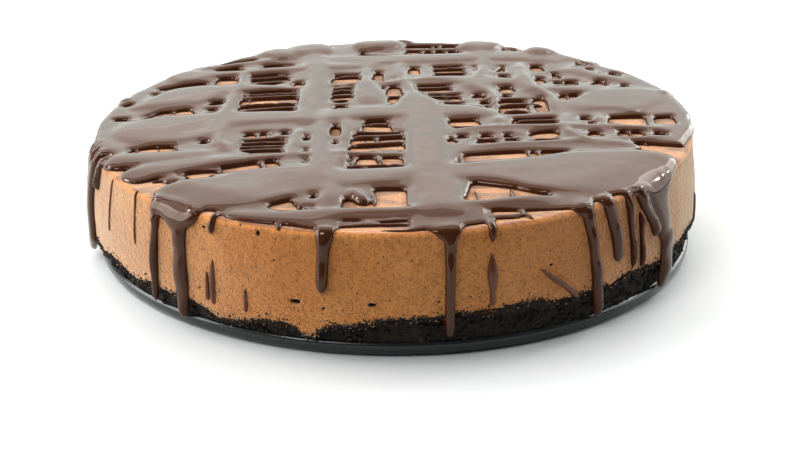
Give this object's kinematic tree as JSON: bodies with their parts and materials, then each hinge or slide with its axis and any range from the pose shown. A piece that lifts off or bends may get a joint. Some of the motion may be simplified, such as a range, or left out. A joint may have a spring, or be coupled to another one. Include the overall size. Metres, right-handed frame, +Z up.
{
  "type": "baked cheesecake",
  "caption": "Round baked chocolate cheesecake on its springform tin base, with a black crumb crust and glossy ganache poured over the top and dripping down the side.",
  "frame": {"origin": "centre of the tin base's underside, where it rests on the table", "axes": "+Z up through the cake, -Y towards the front of the picture, +X to its right"},
  "size_m": [0.2341, 0.2372, 0.0488],
  "materials": {
    "tin": "dark coated steel, satin",
    "crust": "coarse black biscuit crumb, matte",
    "filling": "baked chocolate cream cheese, matte and finely pitted",
    "ganache": "poured dark chocolate ganache, wet gloss"
  },
  "bodies": {
    "root": {"tin": "tin", "crust": "crust", "filling": "filling"}
  },
  "joints": []
}
